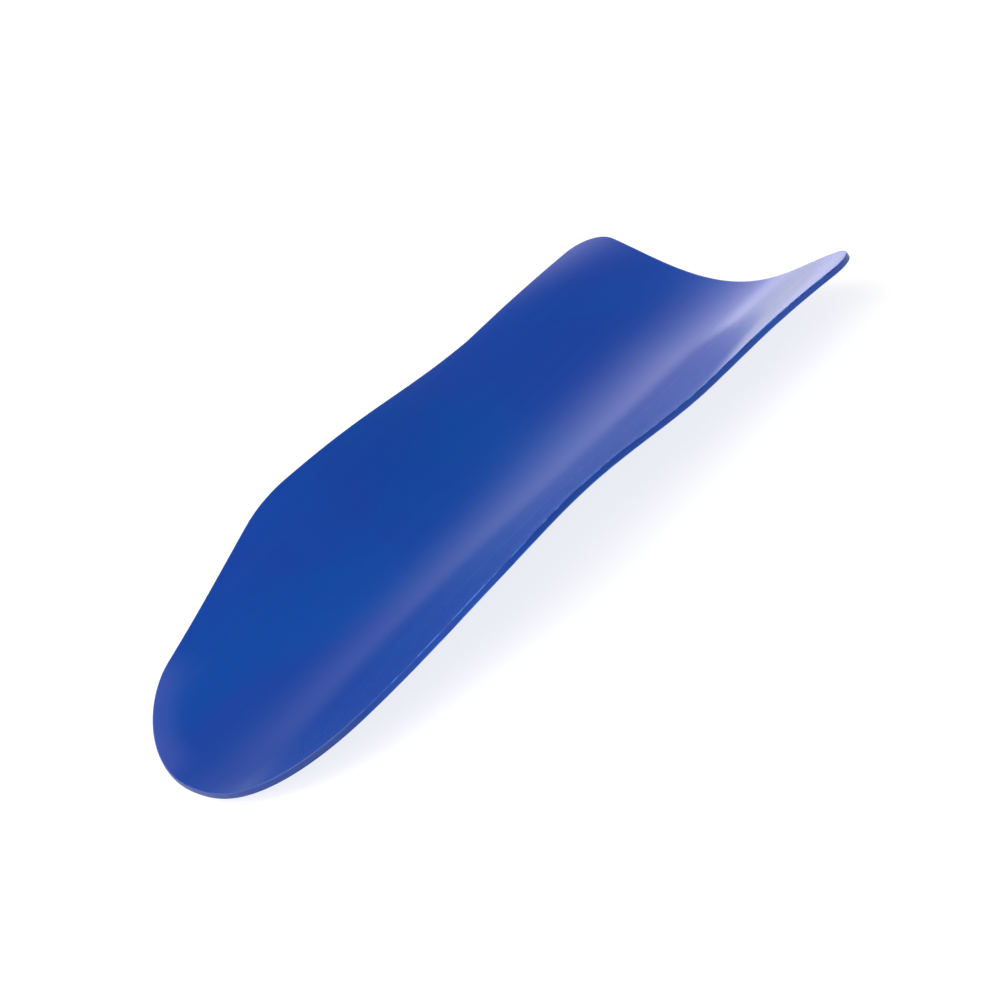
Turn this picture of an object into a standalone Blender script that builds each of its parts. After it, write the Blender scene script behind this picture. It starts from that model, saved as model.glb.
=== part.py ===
"""Sock aid: one gutter, formed from a single blank of thin blue plastic.

The blank is described flat, as a rectangle of (across, along) fractions stretched to its outline, and
then bent into a gutter that lies on its rounded back with the open side up.
+Y runs from the rounded toe to the scooped end, and the origin is under the middle of the gutter.
"""
import bpy
import bmesh
import numpy as np

# ---- Driving dimensions, in metres -------------------------------------------------------------
LENGTH = 0.250              # toe tip to the middle of the scooped end, along the centre line
THICKNESS = 0.0021          # the sheet

# Flat blank: half widths at stations measured from the toe tip
TOE_LENGTH = 0.034          # how far the rounded toe reaches along the sides
TOE_HALF_WIDTH = 0.0525     # half width where the toe rounding ends
TOE_FULLNESS = 0.85         # 1 is a true ellipse, less is squarer
SHOULDER_STATION = 0.096
SHOULDER_HALF_WIDTH = 0.0715
SHOULDER_RADIUS = 0.060
WAIST_STATION = 0.188
WAIST_HALF_WIDTH = 0.066
WAIST_RADIUS = 0.022
END_HALF_WIDTH = 0.067
CORNER_LENGTH = 0.0145      # rounding of the two end corners, along the sides
CORNER_WIDTH = 0.0110       # and across the end
END_SCOOP = 0.0040          # how far the middle of the end sits behind its corners

# Forming: the bend is tightest on the centre line and fades out towards the long edges
TOE_BEND_RADIUS = 0.112
MIDDLE_BEND_RADIUS = 0.066
END_BEND_RADIUS = 0.084
BEND_SKEW = 13.3            # moves the tightest bend from the toe's half to the other, in 1/m
OPENING_STATION = 0.178     # the gutter is opened a little just before the waist
OPENING_SPREAD = 0.028
OPENING_SHARE = 0.19
STRAIGHT_AT_TOE = 0.0647    # distance from the centre line where the sheet is straight
STRAIGHT_AT_END = 0.0413

# Underside: straight between the two lifts, with a narrow flat land that the gutter rests on
LAND_DEPTH = 0.0002
TOE_LIFT = 0.002
TOE_LIFT_LENGTH = 0.071
END_LIFT = 0.002
END_LIFT_LENGTH = 0.038

# Mesh density
STRIPS_ACROSS = 25          # odd, so that one strip lies flat along the bottom
STEPS_ALONG = 40
ARC_STEPS = 8
BEND_STEPS = 24

SHARP_ANGLE_DEGREES = 40    # keeps the rim's two arrises crisp under smooth shading

COLOUR = (0.010, 0.066, 0.330, 1.0)
ROUGHNESS = 0.28


def clear_scene():
    for obj in list(bpy.data.objects):
        bpy.data.objects.remove(obj, do_unlink=True)


def rounded_corner(before, corner, after, radius):
    """Points of the arc that rounds a corner between two straight stretches."""
    towards_before = (before - corner) / np.linalg.norm(before - corner)
    towards_after = (after - corner) / np.linalg.norm(after - corner)
    half_angle = np.arccos(np.dot(towards_before, towards_after)) / 2
    tangent_length = radius / np.tan(half_angle)
    bisector = towards_before + towards_after
    centre = corner + bisector / np.linalg.norm(bisector) * radius / np.sin(half_angle)
    start = corner + towards_before * tangent_length - centre
    end = corner + towards_after * tangent_length - centre
    sweep = np.pi - 2 * half_angle
    points = []
    for step in np.linspace(0, 1, ARC_STEPS + 1):
        mix = np.sin((1 - step) * sweep) * start + np.sin(step * sweep) * end
        points.append(centre + mix / np.sin(sweep))
    return points


def side_outline():
    """Stations and half widths along one long side of the blank, past both of its ends."""
    toe = np.array((TOE_LENGTH, TOE_HALF_WIDTH))
    shoulder = np.array((SHOULDER_STATION, SHOULDER_HALF_WIDTH))
    waist = np.array((WAIST_STATION, WAIST_HALF_WIDTH))
    end = np.array((LENGTH, END_HALF_WIDTH))
    toe_run = (toe - shoulder) * TOE_LENGTH / (SHOULDER_STATION - TOE_LENGTH)
    end_run = (end - waist) * END_SCOOP / (LENGTH - WAIST_STATION)
    points = [toe + toe_run]
    points += rounded_corner(toe, shoulder, waist, SHOULDER_RADIUS)
    points += rounded_corner(shoulder, waist, end, WAIST_RADIUS)
    points.append(end + end_run)
    return np.array(points)


def toe_station(across):
    """Where the toe outline lies for a fraction across the blank, 0 at the centre and 1 at the side."""
    ellipse = 1 - np.abs(across) ** (2 / TOE_FULLNESS)
    return TOE_LENGTH * (1 - np.sqrt(max(0.0, ellipse)))


def end_station(across):
    """Where the end outline lies: a shallow scoop between two rounded corners."""
    corner_share = CORNER_WIDTH / END_HALF_WIDTH
    into_corner = max(0.0, abs(across) - (1 - corner_share)) / corner_share
    rounding = CORNER_LENGTH * (1 - np.sqrt(max(0.0, 1 - into_corner ** 2)))
    return LENGTH + END_SCOOP * across ** 2 - rounding


def curvature(station):
    """Curvature of the bend at the centre line: toe, middle and end values, skewed and opened."""
    along = station / LENGTH
    at_toe = (1 - along) * (1 - 2 * along) / TOE_BEND_RADIUS
    at_middle = 4 * along * (1 - along) / MIDDLE_BEND_RADIUS
    at_end = along * (2 * along - 1) / END_BEND_RADIUS
    skew = BEND_SKEW * along * (1 - along) * (2 * along - 1)
    from_opening = (station - OPENING_STATION) / OPENING_SPREAD
    kept = 1 - OPENING_SHARE * np.exp(-from_opening ** 2 / 2)
    return (at_toe + at_middle + at_end + skew) * kept


def straight_at(station):
    along = station / LENGTH
    return STRAIGHT_AT_TOE + (STRAIGHT_AT_END - STRAIGHT_AT_TOE) * along


def lift(station):
    """Height of the centre line above the straight underside."""
    into_toe = max(0.0, 1 - station / TOE_LIFT_LENGTH)
    into_end = max(0.0, 1 - (LENGTH - station) / END_LIFT_LENGTH)
    return TOE_LIFT * into_toe ** 2 + END_LIFT * into_end ** 2


def sheet_slope(reach, station):
    """Slope of the bent sheet at a distance from the centre line, measured along the sheet."""
    return curvature(station) * (reach - reach ** 3 / (3 * straight_at(station) ** 2))


def formed_points(flat, station):
    """Upper and lower point of the bent sheet for a place on the flat blank."""
    reach = (np.arange(BEND_STEPS) + 0.5) / BEND_STEPS * flat
    slopes = sheet_slope(reach, station)
    x = flat * np.cos(slopes).mean()
    z = flat * np.sin(slopes).mean() + lift(station) + THICKNESS - LAND_DEPTH
    slope = sheet_slope(flat, station)
    upper = (x, station, z)
    underside = max(0.0, z - THICKNESS * np.cos(slope))
    lower = (x + THICKNESS * np.sin(slope), station, underside)
    return upper, lower


def gutter_grids():
    """Rows of upper and lower points, from the toe to the end and from left to right."""
    outline = side_outline()
    turns = np.linspace(-1, 1, STRIPS_ACROSS + 1) * np.pi / 2
    upper_rows = []
    lower_rows = []
    for along in np.linspace(0, 1, STEPS_ALONG + 1):
        upper_row = []
        lower_row = []
        for across in np.sin(turns):
            start = toe_station(across)
            station = start + along * (end_station(across) - start)
            half_width = np.interp(station, outline[:, 0], outline[:, 1])
            upper, lower = formed_points(across * half_width, station)
            upper_row.append(upper)
            lower_row.append(lower)
        upper_rows.append(upper_row)
        lower_rows.append(lower_row)
    return np.array(upper_rows), np.array(lower_rows)


def rim_loop(rows):
    """Vertices around the border of a grid, in order."""
    loop = list(rows[0])
    loop += [row[-1] for row in rows[1:]]
    loop += list(reversed(rows[-1][:-1]))
    loop += [row[0] for row in reversed(rows[1:-1])]
    return loop


def add_grid(bm, points, origin):
    rows = [[bm.verts.new(np.array(point) - origin) for point in row] for row in points]
    for near, far in zip(rows[:-1], rows[1:]):
        for column in range(len(near) - 1):
            corners = (near[column], near[column + 1], far[column + 1], far[column])
            bm.faces.new(corners)
    return rows


def gutter_mesh():
    upper, lower = gutter_grids()
    stations = upper[:, :, 1]
    origin = np.array((0, (stations.min() + stations.max()) / 2, 0))
    bm = bmesh.new()
    upper_rim = rim_loop(add_grid(bm, upper, origin))
    lower_rim = rim_loop(add_grid(bm, lower, origin))
    for index, vertex in enumerate(upper_rim):
        previous = index - 1
        bm.faces.new((upper_rim[previous], vertex, lower_rim[index], lower_rim[previous]))
    bmesh.ops.recalc_face_normals(bm, faces=bm.faces)
    mesh = bpy.data.meshes.new("sock_aid_trough")
    bm.to_mesh(mesh)
    bm.free()
    mesh.shade_smooth()
    mesh.set_sharp_from_angle(angle=np.radians(SHARP_ANGLE_DEGREES))
    return mesh


def blue_plastic():
    material = bpy.data.materials.new("blue_plastic")
    material.use_nodes = True
    shader = material.node_tree.nodes["Principled BSDF"]
    shader.inputs["Base Color"].default_value = COLOUR
    shader.inputs["Roughness"].default_value = ROUGHNESS
    shader.inputs["Metallic"].default_value = 0.0
    return material


def main():
    clear_scene()
    trough = bpy.data.objects.new("sock_aid_trough", gutter_mesh())
    trough.data.materials.append(blue_plastic())
    bpy.context.scene.collection.objects.link(trough)


main()
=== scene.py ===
"""Sock aid: the formed sheet of blue plastic, its surface and its studio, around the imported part."""
import math

import bpy
import numpy as np
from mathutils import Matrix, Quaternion, Vector

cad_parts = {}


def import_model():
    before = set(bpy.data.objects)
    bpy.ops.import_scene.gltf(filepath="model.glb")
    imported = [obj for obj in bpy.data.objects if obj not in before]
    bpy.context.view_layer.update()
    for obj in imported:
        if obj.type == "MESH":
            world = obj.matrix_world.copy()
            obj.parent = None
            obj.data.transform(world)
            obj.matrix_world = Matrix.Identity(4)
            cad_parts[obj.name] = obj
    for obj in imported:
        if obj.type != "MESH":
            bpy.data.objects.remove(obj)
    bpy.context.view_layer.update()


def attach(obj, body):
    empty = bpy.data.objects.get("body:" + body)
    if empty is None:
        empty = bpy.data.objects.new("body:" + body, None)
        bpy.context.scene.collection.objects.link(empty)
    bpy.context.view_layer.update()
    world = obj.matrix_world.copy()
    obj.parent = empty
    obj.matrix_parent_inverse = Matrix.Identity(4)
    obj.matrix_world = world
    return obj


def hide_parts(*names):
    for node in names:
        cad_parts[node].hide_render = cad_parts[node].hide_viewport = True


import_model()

# ---- The sheet, as the part has it, in metres ---------------------------------------------------
LENGTH = 0.250
THICKNESS = 0.0021
TOE_LENGTH = 0.034
TOE_HALF_WIDTH = 0.0525
TOE_FULLNESS = 0.85
SHOULDER_STATION = 0.096
SHOULDER_HALF_WIDTH = 0.0715
SHOULDER_RADIUS = 0.060
WAIST_STATION = 0.188
WAIST_HALF_WIDTH = 0.066
WAIST_RADIUS = 0.022
END_HALF_WIDTH = 0.067
CORNER_LENGTH = 0.0145
CORNER_WIDTH = 0.0110
END_SCOOP = 0.0040
TOE_BEND_RADIUS = 0.112
MIDDLE_BEND_RADIUS = 0.066
END_BEND_RADIUS = 0.084
BEND_SKEW = 13.3
OPENING_STATION = 0.178
OPENING_SPREAD = 0.028
OPENING_SHARE = 0.19
STRAIGHT_AT_TOE = 0.0647
STRAIGHT_AT_END = 0.0413
LAND_DEPTH = 0.0002
TOE_LIFT = 0.002
TOE_LIFT_LENGTH = 0.071
END_LIFT = 0.002
END_LIFT_LENGTH = 0.038

# ---- Fineness of the shown mesh ------------------------------------------------------------------
CELLS_ACROSS = 96
CELLS_ALONG = 240
RING_INSET = 0.0012         # where the grid ends and the rings round the rim begin
MIDDLE_RING_INSET = 0.0007  # the ring between the grid and the arris
EDGE_ROUNDING = 0.00032     # the trimmed edge's two arrises
ROUNDING_STEPS = 5
SIDE_RINGS = (0.35, 0.5, 0.65)  # rings on the cut face, as shares of the thickness
OUTLINE_STEPS = 600         # points on each stretch of the outline, before it is spaced evenly
TOE_CORNER_SHARE = 0.56     # the share of the toe's rounding before the grid's corner
END_CORNER_SHARE = 0.5      # the share of the end corner's rounding before the grid's corner
CORNER_STEPS = 24
BEND_STEPS = 24

# ---- Colours of the plastic, linear --------------------------------------------------------------
VIOLET_BLUE = (0.0070, 0.0545, 0.350, 1)
CYAN_BLUE = (0.0012, 0.0650, 0.364, 1)
PALE_BLUE = (0.020, 0.090, 0.400, 1)
# painted reflection: the paler blue of the band inside the toe
TOE_REFLECTION_BLUE = (0.085, 0.118, 0.470, 1)
CUT_BLUE = (0.0008, 0.0480, 0.330, 1)
# painted shade: the darker blue of the cut face at the toe
TOE_CUT_SHADE_BLUE = (0.0006, 0.0270, 0.185, 1)
# painted highlight: the lighter blue on the rim's arrises
ARRIS_HIGHLIGHT_BLUE = (0.060, 0.240, 0.760, 1)

# ---- Relief of the plastic, and where its looks change along Y unless X is named, in metres ---------
PEEL_DEPTH = 0.000006
DRAWN_DEPTH = 0.000006
SCRATCH_DEPTH = 0.000004
SAW_DEPTH = 0.000040
REFRACTION = 1.49
# Each set of scratches: turn in degrees, shift of its noise, and the level above which a line shows
SCRATCH_SETS = ((4, 0.31, 0.66), (-7, 0.77, 0.69), (38, 1.43, 0.74), (-55, 2.19, 0.75))
SCRATCH_SOFTNESS = 0.06
TOE_TO_MIDDLE = 0.0924      # from where the toe's rounding ends to the middle of the gutter
# where the toe's painted reflection comes in, along Y
TOE_REFLECTION_FADE = (-0.082, -0.102)
RIGHT_SIDE_FADE = (-0.004, 0.026)   # along X, from the fuller painted reflection on the left of the toe to its fainter right
# where the cut's painted shade comes in towards the toe, along Y
TOE_CUT_SHADE_FADE = (-0.080, -0.108)
# where the arrises' painted highlight weakens towards the toe, along Y
ARRIS_HIGHLIGHT_FADE = (-0.100, -0.076)

# ---- Studio ---------------------------------------------------------------------------------------
FLOOR_HALF_SIZE = 4.0
FLOOR_GAP = 0.0001
FLOOR_GREY = (0.28, 0.28, 0.28, 1)
FLOOR_EMISSION = 0.80
# Name, place, size and radiance of each; they aim at the origin
SOFT_BOXES = (
    ("key", (0.5, -1.4, 1.6), (3.4, 3.4), 2.2),
    ("fill", (-1.2, -0.9, 1.5), (2.6, 2.6), 1.4),
)
GLOW_TURN = -60             # degrees from +Y, negative towards -X
GLOW_AWAY = 0.35
GLOW_ACROSS = 0.16
GLOW_HEIGHT = 0.095
GLOW_SIZE = (0.72, 0.57)
GLOW_RADIANCE = 2.85
GLOW_TINT = (0.82, 0.76, 1.0)
GLOW_PROFILE = ((0.0, 0.78), (0.1, 0.72), (0.25, 0.54), (0.45, 0.37), (0.7, 0.18), (1.0, 0.0))
SKY_PROFILE = ((0.0, 1.0), (0.11, 1.0), (0.2, 0.1), (1.0, 0.1))

# ---- Camera ---------------------------------------------------------------------------------------
CAMERA_PLACE = (0.75720, -0.41021, 0.44138)
CAMERA_LOOK = (-0.78110, 0.43197, -0.45087)
CAMERA_ROLL = -29.66        # degrees
SENSOR_WIDTH = 36           # millimetres, as is the focal length
FOCAL_LENGTH = 112.86
NEAREST_SEEN = 0.01
FARTHEST_SEEN = 50


def rounded_corner(before, corner, after, radius):
    """Points of the arc that rounds a corner between two straight stretches."""
    to_before = (before - corner) / np.linalg.norm(before - corner)
    to_after = (after - corner) / np.linalg.norm(after - corner)
    half_angle = np.arccos(np.dot(to_before, to_after)) / 2
    tangent_length = radius / np.tan(half_angle)
    bisector = to_before + to_after
    centre = corner + bisector / np.linalg.norm(bisector) * radius / np.sin(half_angle)
    start = corner + to_before * tangent_length - centre
    end = corner + to_after * tangent_length - centre
    sweep = np.pi - 2 * half_angle
    points = []
    for step in np.linspace(0, 1, CORNER_STEPS + 1):
        mix = np.sin((1 - step) * sweep) * start + np.sin(step * sweep) * end
        points.append(centre + mix / np.sin(sweep))
    return points


def long_side():
    """Stations and half widths along one long side of the blank, past both of its ends."""
    toe = np.array((TOE_LENGTH, TOE_HALF_WIDTH))
    shoulder = np.array((SHOULDER_STATION, SHOULDER_HALF_WIDTH))
    waist = np.array((WAIST_STATION, WAIST_HALF_WIDTH))
    end = np.array((LENGTH, END_HALF_WIDTH))
    toe_run = (toe - shoulder) * TOE_LENGTH / (SHOULDER_STATION - TOE_LENGTH)
    end_run = (end - waist) * END_SCOOP / (LENGTH - WAIST_STATION)
    points = [toe + toe_run]
    points += rounded_corner(toe, shoulder, waist, SHOULDER_RADIUS)
    points += rounded_corner(shoulder, waist, end, WAIST_RADIUS)
    points.append(end + end_run)
    return np.array(points)


def toe_station(across):
    """Where the toe outline lies for fractions across the blank, 0 at the centre and 1 at the side."""
    return TOE_LENGTH * (1 - np.sqrt(np.clip(1 - np.abs(across) ** (2 / TOE_FULLNESS), 0, None)))


def end_station(across):
    """Where the end outline lies: a shallow scoop between two rounded corners."""
    share = CORNER_WIDTH / END_HALF_WIDTH
    into_corner = np.clip(np.abs(across) - (1 - share), 0, None) / share
    rounding = CORNER_LENGTH * (1 - np.sqrt(np.clip(1 - into_corner ** 2, 0, None)))
    return LENGTH + END_SCOOP * across ** 2 - rounding


def half_outline():
    """Half of the blank's outline, from the toe tip to the middle of the end, and its two corners."""
    side = long_side()
    turn = np.linspace(0, np.pi / 2, OUTLINE_STEPS)
    share = CORNER_WIDTH / END_HALF_WIDTH
    toe_across = np.sin(turn)
    corner_across = 1 - share + share * np.sin(turn[::-1])
    scoop_across = np.linspace(1 - share, 0, OUTLINE_STEPS)
    across = [toe_across, np.ones(OUTLINE_STEPS), corner_across, scoop_across]
    station = [toe_station(toe_across)]
    station.append(np.linspace(TOE_LENGTH, end_station(np.ones(1))[0], OUTLINE_STEPS))
    station += [end_station(corner_across), end_station(scoop_across)]
    across = np.concatenate(across)
    station = np.concatenate(station)
    flat = across * np.interp(station, side[:, 0], side[:, 1])
    points = np.stack((flat, station), axis=1)
    toe_corner = int(OUTLINE_STEPS * TOE_CORNER_SHARE)
    end_corner = int(OUTLINE_STEPS * (2 + END_CORNER_SHARE))
    return points, toe_corner, end_corner


def arc_resample(points, count):
    """count + 1 points at even distances along a polyline."""
    steps = np.linalg.norm(np.diff(points, axis=0), axis=1)
    along = np.concatenate(((0,), np.cumsum(steps)))
    wanted = np.linspace(0, along[-1], count + 1)
    return np.stack([np.interp(wanted, along, points[:, axis]) for axis in (0, 1)], axis=1)


def rim_loop():
    """The blank's outline as one even loop: toe from left to right, right side, end, left side."""
    right, toe_corner, end_corner = half_outline()
    mirror = np.array((-1.0, 1.0))
    toe = np.concatenate((right[:toe_corner][::-1] * mirror, right[1:toe_corner + 1]))
    side = right[toe_corner:end_corner + 1]
    end = np.concatenate((right[end_corner:], right[end_corner:-1][::-1] * mirror))
    pieces = (
        arc_resample(toe, CELLS_ACROSS),
        arc_resample(side, CELLS_ALONG),
        arc_resample(end, CELLS_ACROSS),
        arc_resample(side[::-1] * mirror, CELLS_ALONG),
    )
    return np.concatenate([piece[:-1] for piece in pieces])


def inset(loop, distance):
    """The loop moved inwards by a distance."""
    tangent = np.roll(loop, -1, axis=0) - np.roll(loop, 1, axis=0)
    tangent /= np.linalg.norm(tangent, axis=1)[:, None]
    inwards = np.stack((-tangent[:, 1], tangent[:, 0]), axis=1)
    return loop + inwards * distance


def patch(loop):
    """Flat places of a grid that fills the loop: a Coons patch between its four sides."""
    first = CELLS_ACROSS
    second = first + CELLS_ALONG
    third = second + CELLS_ACROSS
    toe = loop[:first + 1]
    right = loop[first:second + 1]
    end = loop[second:third + 1][::-1]
    left = np.concatenate((loop[third:], loop[:1]))[::-1]
    u = np.linspace(0, 1, CELLS_ACROSS + 1)[None, :, None]
    v = np.linspace(0, 1, CELLS_ALONG + 1)[:, None, None]
    ruled = (1 - v) * toe[None] + v * end[None] + (1 - u) * left[:, None] + u * right[:, None]
    corners = (1 - v) * ((1 - u) * toe[0] + u * toe[-1]) + v * ((1 - u) * end[0] + u * end[-1])
    return ruled - corners


def curvature(station):
    """Curvature of the bend at the centre line: toe, middle and end values, skewed and opened."""
    along = station / LENGTH
    at_toe = (1 - along) * (1 - 2 * along) / TOE_BEND_RADIUS
    at_middle = 4 * along * (1 - along) / MIDDLE_BEND_RADIUS
    at_end = along * (2 * along - 1) / END_BEND_RADIUS
    skew = BEND_SKEW * along * (1 - along) * (2 * along - 1)
    from_opening = (station - OPENING_STATION) / OPENING_SPREAD
    kept = 1 - OPENING_SHARE * np.exp(-from_opening ** 2 / 2)
    return (at_toe + at_middle + at_end + skew) * kept


def straight_at(station):
    """Distance from the centre line where the sheet is straight."""
    return STRAIGHT_AT_TOE + (STRAIGHT_AT_END - STRAIGHT_AT_TOE) * station / LENGTH


def lift(station):
    """Height of the centre line above the straight underside."""
    into_toe = np.clip(1 - station / TOE_LIFT_LENGTH, 0, None)
    into_end = np.clip(1 - (LENGTH - station) / END_LIFT_LENGTH, 0, None)
    return TOE_LIFT * into_toe ** 2 + END_LIFT * into_end ** 2


def slope_at(reach, station):
    """Slope of the bent sheet at a distance from the centre line, measured along the sheet."""
    return curvature(station) * (reach - reach ** 3 / (3 * straight_at(station) ** 2))


def formed(flat, depth):
    """Places in the formed sheet for flat places (across, station), at a depth under its upper face."""
    across, station = flat[..., 0], flat[..., 1]
    x = np.zeros_like(across)
    z = np.zeros_like(across)
    for step in range(BEND_STEPS):
        slope = slope_at((step + 0.5) / BEND_STEPS * across, station)
        x += np.cos(slope) * across / BEND_STEPS
        z += np.sin(slope) * across / BEND_STEPS
    slope = slope_at(across, station)
    x = x + depth * np.sin(slope)
    z = z + lift(station) + THICKNESS - LAND_DEPTH - depth * np.cos(slope)
    return np.stack((x, station, np.maximum(z, 0)), axis=-1)


def rim_profile():
    """(inset, depth) pairs round the trimmed edge, from the upper face to the lower one."""
    arris = []
    for turn in np.linspace(0, np.pi / 2, ROUNDING_STEPS + 1):
        distance = EDGE_ROUNDING * (1 - math.sin(turn))
        depth = EDGE_ROUNDING * (1 - math.cos(turn))
        arris.append((distance, depth))
    upper = [(MIDDLE_RING_INSET, 0.0)] + arris
    side = [(0.0, THICKNESS * share) for share in SIDE_RINGS]
    lower = [(distance, THICKNESS - depth) for distance, depth in reversed(upper)]
    return upper + side + lower


def rim_marks(distance, depth):
    """How far a rim ring belongs to the cut face, and how far to one of its two arrises."""
    from_face = min(depth, THICKNESS - depth) / EDGE_ROUNDING
    from_side = distance / EDGE_ROUNDING
    middle_of_arris = 4 * max(0.0, 1 - from_face) * max(0.0, 1 - from_side)
    return min(1.0, from_face), middle_of_arris


def sheet_faces(index, rings, lower_start):
    """Quads of the upper grid, of the lower one, and of the strips between the rings round the rim."""
    corners = (index[:-1, :-1], index[:-1, 1:], index[1:, 1:], index[1:, :-1])
    upper = np.stack(corners, axis=-1).reshape(-1, 4)
    faces = [upper, upper[:, ::-1] + lower_start]
    for inner, outer in zip(rings[:-1], rings[1:]):
        strip = (inner, outer, np.roll(outer, -1), np.roll(inner, -1))
        faces.append(np.stack(strip, axis=-1))
    return np.concatenate(faces)


def sheet_mesh():
    """Upper grid, rings round the rim and lower grid, with each point's share of the cut and arris."""
    loop = rim_loop()
    grid = patch(inset(loop, RING_INSET))
    rows, columns = grid.shape[:2]
    index = np.arange(rows * columns).reshape(rows, columns)
    border = np.concatenate((index[0, :-1], index[:-1, -1], index[-1, :0:-1], index[:0:-1, 0]))
    layers = [formed(grid, 0.0).reshape(-1, 3)]
    cut = [np.zeros(rows * columns)]
    arris = [np.zeros(rows * columns)]
    rings = [border]
    count = rows * columns
    for distance, depth in rim_profile():
        on_cut, on_arris = rim_marks(distance, depth)
        layers.append(formed(inset(loop, distance), depth))
        cut.append(np.full(len(loop), on_cut))
        arris.append(np.full(len(loop), on_arris))
        rings.append(np.arange(count, count + len(loop)))
        count += len(loop)
    layers.append(formed(grid, THICKNESS).reshape(-1, 3))
    cut.append(cut[0])
    arris.append(arris[0])
    rings.append(border + count)
    points = np.concatenate(layers)
    points[:, 1] -= (points[:, 1].min() + points[:, 1].max()) / 2
    mesh = bpy.data.meshes.new("sock_aid_sheet")
    mesh.from_pydata(points.tolist(), [], sheet_faces(index, rings, count).tolist())
    for name, values in (("cut", cut), ("arris", arris)):
        attribute = mesh.attributes.new(name, "FLOAT", "POINT")
        attribute.data.foreach_set("value", np.concatenate(values))
    mesh.validate()
    mesh.shade_smooth()
    return mesh


class Shading:
    """Small helpers that add nodes to one material."""

    def __init__(self, name):
        self.material = bpy.data.materials.new(name)
        self.material.use_nodes = True
        self.nodes = self.material.node_tree.nodes
        self.links = self.material.node_tree.links
        self.shader = self.nodes["Principled BSDF"]
        self.place = self.nodes.new("ShaderNodeTexCoord").outputs["Object"]

    def feed(self, socket, value):
        if isinstance(value, bpy.types.NodeSocket):
            self.links.new(value, socket)
        else:
            socket.default_value = value

    def math(self, operation, first, second=0.0, clamp=False):
        node = self.nodes.new("ShaderNodeMath")
        node.operation = operation
        node.use_clamp = clamp
        self.feed(node.inputs[0], first)
        self.feed(node.inputs[1], second)
        return node.outputs[0]

    def span(self, value, low, high, to_low=0.0, to_high=1.0):
        """A value's share of the way from low to high, eased, as a number from to_low to to_high."""
        node = self.nodes.new("ShaderNodeMapRange")
        node.interpolation_type = "SMOOTHSTEP"
        self.feed(node.inputs["Value"], value)
        ends = {"From Min": low, "From Max": high, "To Min": to_low, "To Max": to_high}
        for name, number in ends.items():
            node.inputs[name].default_value = number
        return node.outputs[0]

    def attribute(self, name):
        node = self.nodes.new("ShaderNodeAttribute")
        node.attribute_name = name
        return node.outputs["Fac"]

    def axis(self, name):
        node = self.nodes.new("ShaderNodeSeparateXYZ")
        self.links.new(self.place, node.inputs[0])
        return node.outputs[name]

    def noise(self, frequency, turn=0.0, shift=0.0, detail=2.0, roughness=0.5, distortion=0.0):
        """Noise with a frequency along each axis, in cycles per metre, turned about Z."""
        move = self.nodes.new("ShaderNodeMapping")
        move.inputs["Rotation"].default_value = (0, 0, math.radians(turn))
        move.inputs["Location"].default_value = (shift, shift, shift)
        stretch = self.nodes.new("ShaderNodeVectorMath")
        stretch.operation = "MULTIPLY"
        stretch.inputs[1].default_value = frequency
        made = self.nodes.new("ShaderNodeTexNoise")
        made.inputs["Scale"].default_value = 1.0
        made.inputs["Detail"].default_value = detail
        made.inputs["Roughness"].default_value = roughness
        made.inputs["Distortion"].default_value = distortion
        self.links.new(self.place, move.inputs["Vector"])
        self.links.new(move.outputs[0], stretch.inputs[0])
        self.links.new(stretch.outputs[0], made.inputs["Vector"])
        return made.outputs["Fac"]

    def mix(self, share, first, second):
        node = self.nodes.new("ShaderNodeMix")
        node.data_type = "RGBA"
        self.feed(node.inputs["Factor"], share)
        colours = [socket for socket in node.inputs if socket.type == "RGBA"]
        self.feed(colours[0], first)
        self.feed(colours[1], second)
        return next(socket for socket in node.outputs if socket.type == "RGBA")

    def bump(self, height, distance, normal=None):
        node = self.nodes.new("ShaderNodeBump")
        node.inputs["Strength"].default_value = 1.0
        node.inputs["Distance"].default_value = distance
        self.links.new(height, node.inputs["Height"])
        if normal:
            self.links.new(normal, node.inputs["Normal"])
        return node.outputs[0]


def scratches(surface):
    """Thin hairlines left by hands and socks: mostly lengthwise, a few across, only here and there."""
    marks = None
    for turn, shift, threshold in SCRATCH_SETS:
        hairlines = surface.noise((2300, 26, 60), turn, shift, detail=0.0)
        lines = surface.span(hairlines, threshold, threshold + SCRATCH_SOFTNESS)
        spots = surface.noise((38, 21, 30), turn, shift + 5, detail=1.0)
        line = surface.math("MULTIPLY", lines, surface.span(spots, 0.52, 0.66))
        marks = line if marks is None else surface.math("MAXIMUM", marks, line)
    return marks


def toe_painted_reflection(surface):
    """A painted reflection: a paler band inside the toe's rim, broken into soft patches and fainter on
    the right.
    """
    across = surface.math("DIVIDE", surface.axis("X"), TOE_HALF_WIDTH)
    from_rounding = surface.math("ADD", surface.axis("Y"), TOE_TO_MIDDLE)
    along = surface.math("MINIMUM", surface.math("DIVIDE", from_rounding, TOE_LENGTH), 0.0)
    across_squared = surface.math("MULTIPLY", across, across)
    along_squared = surface.math("MULTIPLY", along, along)
    reach = surface.math("SQRT", surface.math("ADD", across_squared, along_squared))
    near_rim = surface.span(reach, 0.66, 1.0)
    at_toe = surface.span(surface.axis("Y"), *TOE_REFLECTION_FADE)
    patches = surface.span(surface.noise((26, 26, 26), shift=3.7, detail=1.0), 0.34, 0.58, 0.15, 1.0)
    less_right = surface.span(surface.axis("X"), *RIGHT_SIDE_FADE, 1.0, 0.12)
    band = surface.math("MULTIPLY", near_rim, at_toe)
    return surface.math("MULTIPLY", surface.math("MULTIPLY", band, patches), less_right)


def arris_painted_highlight(surface):
    """A painted highlight on the rim's two arrises, lighter in short broken stretches along the sides.
    """
    broken = surface.span(surface.noise((60, 210, 60), shift=1.9), 0.46, 0.62)
    along_sides = surface.span(surface.axis("Y"), *ARRIS_HIGHLIGHT_FADE, 0.05, 1.0)
    highlit = surface.math("MULTIPLY", surface.attribute("arris"), broken, clamp=True)
    return surface.math("MULTIPLY", highlit, along_sides)


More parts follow.
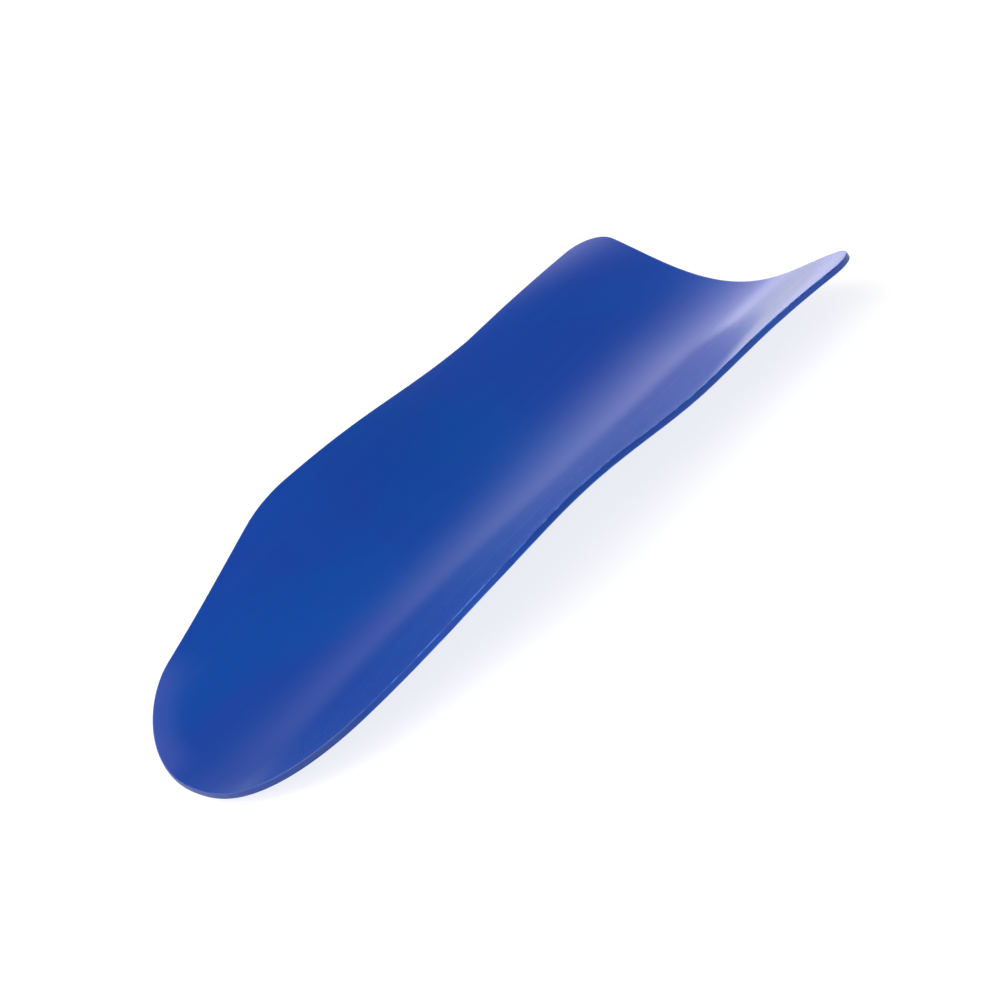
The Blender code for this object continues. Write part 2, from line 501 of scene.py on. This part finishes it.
def plastic_colour(surface, cloud, drawn, marks, toe_reflection, cut, saw):
    """Two blues in soft clouds, paler where drawn or scratched, with a purer blue on the cut; painted
    reflection inside the toe, painted shade on the toe's cut, painted highlight on the arrises.
    """
    colour = surface.mix(cloud, VIOLET_BLUE, CYAN_BLUE)
    colour = surface.mix(surface.span(drawn, 0.35, 0.75, 0.0, 0.05), colour, PALE_BLUE)
    # painted reflection: the paler band inside the toe
    colour = surface.mix(surface.math("MULTIPLY", toe_reflection, 0.55), colour, TOE_REFLECTION_BLUE)
    colour = surface.mix(surface.math("MULTIPLY", marks, 0.05), colour, PALE_BLUE)
    # painted shade: the cut face darker at the toe
    shaded_cut_colour = surface.mix(surface.span(surface.axis("Y"), *TOE_CUT_SHADE_FADE), CUT_BLUE, TOE_CUT_SHADE_BLUE)
    sawn = surface.math("MULTIPLY", cut, surface.span(saw, 0.3, 0.7, 0.75, 1.0))
    colour = surface.mix(sawn, colour, shaded_cut_colour)
    # painted highlight: lighter blue in broken stretches on the arrises
    return surface.mix(surface.math("MULTIPLY", arris_painted_highlight(surface), 0.55), colour, ARRIS_HIGHLIGHT_BLUE)


def plastic_roughness(surface, cloud, drawn, marks, toe_reflection, cut, saw):
    """Semi-gloss on the faces, a trace duller in marks and in the toe's band of painted reflection, and
    duller still on the cut.
    """
    rough = surface.span(cloud, 0.0, 1.0, 0.200, 0.230)
    rough = surface.math("ADD", rough, surface.span(drawn, 0.3, 0.7, -0.010, 0.018))
    rough = surface.math("ADD", rough, surface.math("MULTIPLY", marks, 0.015))
    rough = surface.math("ADD", rough, surface.math("MULTIPLY", toe_reflection, 0.015))
    sawn = surface.math("MULTIPLY", cut, surface.span(saw, 0.3, 0.7, 0.14, 0.30))
    return surface.math("ADD", rough, sawn, clamp=True)


def plastic_relief(surface, drawn, marks, cut, saw):
    """Orange peel, drawing lines and scratches, and the deeper marks of the saw on the cut."""
    normal = surface.bump(surface.noise((620, 520, 620), shift=4.2, detail=1.0), PEEL_DEPTH)
    normal = surface.bump(drawn, DRAWN_DEPTH, normal)
    normal = surface.bump(surface.math("SUBTRACT", 1.0, marks), SCRATCH_DEPTH, normal)
    return surface.bump(surface.math("MULTIPLY", cut, saw), SAW_DEPTH, normal)


def plastic():
    surface = Shading("blue_plastic_sheet")
    clouds = surface.noise((16, 9, 16), 12, 0.4, detail=3.0, roughness=0.55, distortion=0.6)
    cloud = surface.span(clouds, 0.36, 0.64)
    drawn = surface.noise((420, 14, 200), shift=0.9, detail=3.0, roughness=0.6)
    marks = scratches(surface)
    # the toe's painted reflection, which also makes the surface a trace duller there
    toe_reflection = toe_painted_reflection(surface)
    cut = surface.attribute("cut")
    saw = surface.noise((160, 900, 2600), shift=2.6)
    colour = plastic_colour(surface, cloud, drawn, marks, toe_reflection, cut, saw)
    roughness = plastic_roughness(surface, cloud, drawn, marks, toe_reflection, cut, saw)
    normal = plastic_relief(surface, drawn, marks, cut, saw)
    inputs = surface.shader.inputs
    surface.feed(inputs["Base Color"], colour)
    surface.feed(inputs["Roughness"], roughness)
    surface.feed(inputs["Normal"], normal)
    inputs["IOR"].default_value = REFRACTION
    return surface.material


def floor():
    size = FLOOR_HALF_SIZE
    corners = [(-size, -size, 0), (size, -size, 0), (size, size, 0), (-size, size, 0)]
    mesh = bpy.data.meshes.new("floor")
    mesh.from_pydata(corners, [], [(0, 1, 2, 3)])
    obj = bpy.data.objects.new("floor", mesh)
    bpy.context.scene.collection.objects.link(obj)
    material = bpy.data.materials.new("floor_white")
    material.use_nodes = True
    inputs = material.node_tree.nodes["Principled BSDF"].inputs
    inputs["Base Color"].default_value = FLOOR_GREY
    inputs["Roughness"].default_value = 0.9
    inputs["Specular IOR Level"].default_value = 0.2
    inputs["Emission Color"].default_value = (1, 1, 1, 1)
    inputs["Emission Strength"].default_value = FLOOR_EMISSION
    mesh.materials.append(material)
    obj.location.z = -FLOOR_GAP


def soft_box(name, place, aim, size, radiance, colour=(1, 1, 1)):
    """An elliptical area light that shines from its place towards its aim, and isn't seen itself."""
    area = math.pi / 4 * size[0] * size[1]
    light = bpy.data.lights.new(name, "AREA")
    light.shape = "ELLIPSE"
    light.size, light.size_y = size
    light.color = colour
    light.energy = radiance * math.pi * area
    obj = bpy.data.objects.new(name, light)
    bpy.context.scene.collection.objects.link(obj)
    obj.location = place
    obj.rotation_mode = "QUATERNION"
    obj.rotation_quaternion = (Vector(aim) - Vector(place)).to_track_quat("-Z", "Y")
    obj.visible_camera = False
    return light


def fade_outwards(light, profile):
    """Gives a light its brightness from the middle to the rim, as (radius, share) pairs."""
    light.use_nodes = True
    nodes, links = light.node_tree.nodes, light.node_tree.links
    where = nodes.new("ShaderNodeNewGeometry")
    centred = nodes.new("ShaderNodeVectorMath")
    centred.operation = "SUBTRACT"
    centred.inputs[1].default_value = (0.5, 0.5, 0.0)
    length = nodes.new("ShaderNodeVectorMath")
    length.operation = "LENGTH"
    double = nodes.new("ShaderNodeMath")
    double.operation = "MULTIPLY"
    double.inputs[1].default_value = 2.0
    ramp = nodes.new("ShaderNodeValToRGB")
    fill_ramp(ramp, profile)
    links.new(where.outputs["Parametric"], centred.inputs[0])
    links.new(centred.outputs[0], length.inputs[0])
    links.new(length.outputs["Value"], double.inputs[0])
    links.new(double.outputs[0], ramp.inputs[0])
    links.new(ramp.outputs[0], nodes["Emission"].inputs["Strength"])


def glow():
    """A low card beyond the flared end, whose reflection is the long streak inside the gutter."""
    turn = math.radians(GLOW_TURN)
    away = Vector((math.sin(turn), math.cos(turn), 0))
    across = Vector((math.cos(turn), -math.sin(turn), 0))
    place = away * GLOW_AWAY + across * GLOW_ACROSS + Vector((0, 0, GLOW_HEIGHT))
    light = soft_box("glow", place, place - away, GLOW_SIZE, GLOW_RADIANCE, GLOW_TINT)
    fade_outwards(light, GLOW_PROFILE)


def fill_ramp(ramp, stops, interpolation="LINEAR"):
    """Sets a ramp's greys from (place, value) pairs."""
    ramp.color_ramp.interpolation = interpolation
    while len(ramp.color_ramp.elements) < len(stops):
        ramp.color_ramp.elements.new(0.5)
    for element, (place, value) in zip(ramp.color_ramp.elements, stops):
        element.position = place
        element.color = (value, value, value, 1)


def world():
    """Pale round the horizon and below it, and dim overhead."""
    made = bpy.data.worlds.new("studio")
    bpy.context.scene.world = made
    made.use_nodes = True
    nodes, links = made.node_tree.nodes, made.node_tree.links
    background = nodes["Background"]
    coordinate = nodes.new("ShaderNodeTexCoord")
    parts = nodes.new("ShaderNodeSeparateXYZ")
    ramp = nodes.new("ShaderNodeValToRGB")
    links.new(coordinate.outputs["Generated"], parts.inputs[0])
    links.new(parts.outputs["Z"], ramp.inputs[0])
    links.new(ramp.outputs[0], background.inputs["Color"])
    fill_ramp(ramp, SKY_PROFILE, "EASE")
    background.inputs["Strength"].default_value = 1.0


def camera():
    lens = bpy.data.cameras.new("camera")
    lens.sensor_width = SENSOR_WIDTH
    lens.lens = FOCAL_LENGTH
    lens.clip_start = NEAREST_SEEN
    lens.clip_end = FARTHEST_SEEN
    obj = bpy.data.objects.new("camera", lens)
    bpy.context.scene.collection.objects.link(obj)
    unrolled = Vector(CAMERA_LOOK).to_track_quat("-Z", "Y")
    obj.location = CAMERA_PLACE
    obj.rotation_mode = "QUATERNION"
    obj.rotation_quaternion = unrolled @ Quaternion((0, 0, 1), math.radians(CAMERA_ROLL))
    bpy.context.scene.camera = obj


sheet = bpy.data.objects.new("sock_aid_sheet", sheet_mesh())
sheet.data.materials.append(plastic())
bpy.context.scene.collection.objects.link(sheet)
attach(sheet, "root")
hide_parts("sock_aid_trough")

floor()
for name, place, size, radiance in SOFT_BOXES:
    soft_box(name, place, (0, 0, 0), size, radiance)
glow()
world()
camera()
bpy.context.scene.view_settings.view_transform = "Standard"
